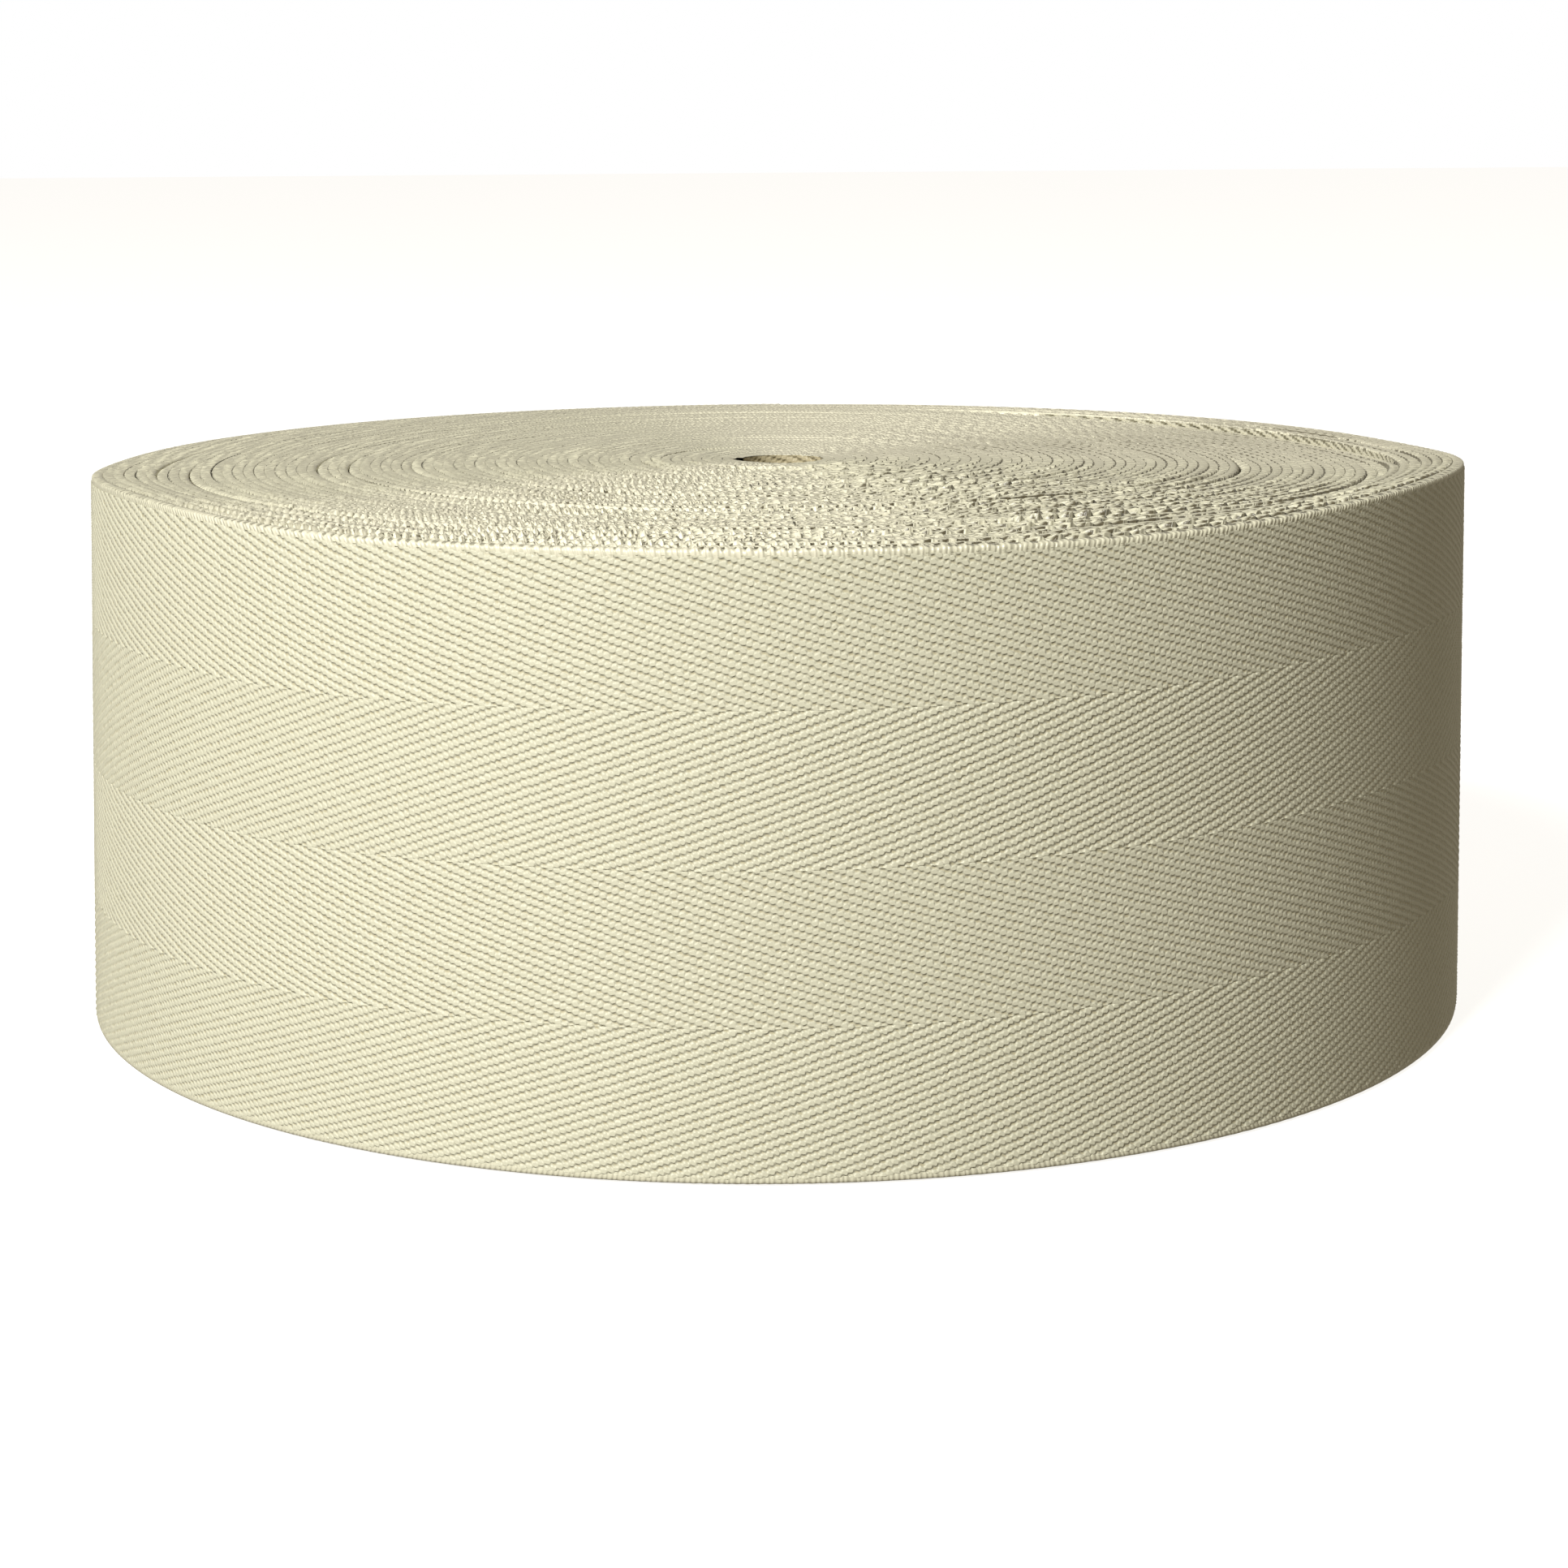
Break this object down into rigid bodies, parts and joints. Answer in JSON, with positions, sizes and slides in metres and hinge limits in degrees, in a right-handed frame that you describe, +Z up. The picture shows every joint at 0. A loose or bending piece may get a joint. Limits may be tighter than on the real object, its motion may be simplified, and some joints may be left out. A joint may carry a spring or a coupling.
{
  "type": "roll of herringbone twill webbing",
  "caption": "Self-wound roll of cream herringbone twill webbing lying on one edge, with a small open centre and slightly uneven turns on top.",
  "frame": {"origin": "middle of the roll's foot, on the surface that it lies on", "axes": "+Z up through the winding hole, across the webbing's width; +Y towards the back, where the webbing's cut end lies"},
  "size_m": [0.1299, 0.1304, 0.0509],
  "materials": {
    "cream_webbing": "matt woven yarn with a soft sheen"
  },
  "bodies": {
    "root": {"webbing_roll": "cream_webbing"}
  },
  "joints": []
}
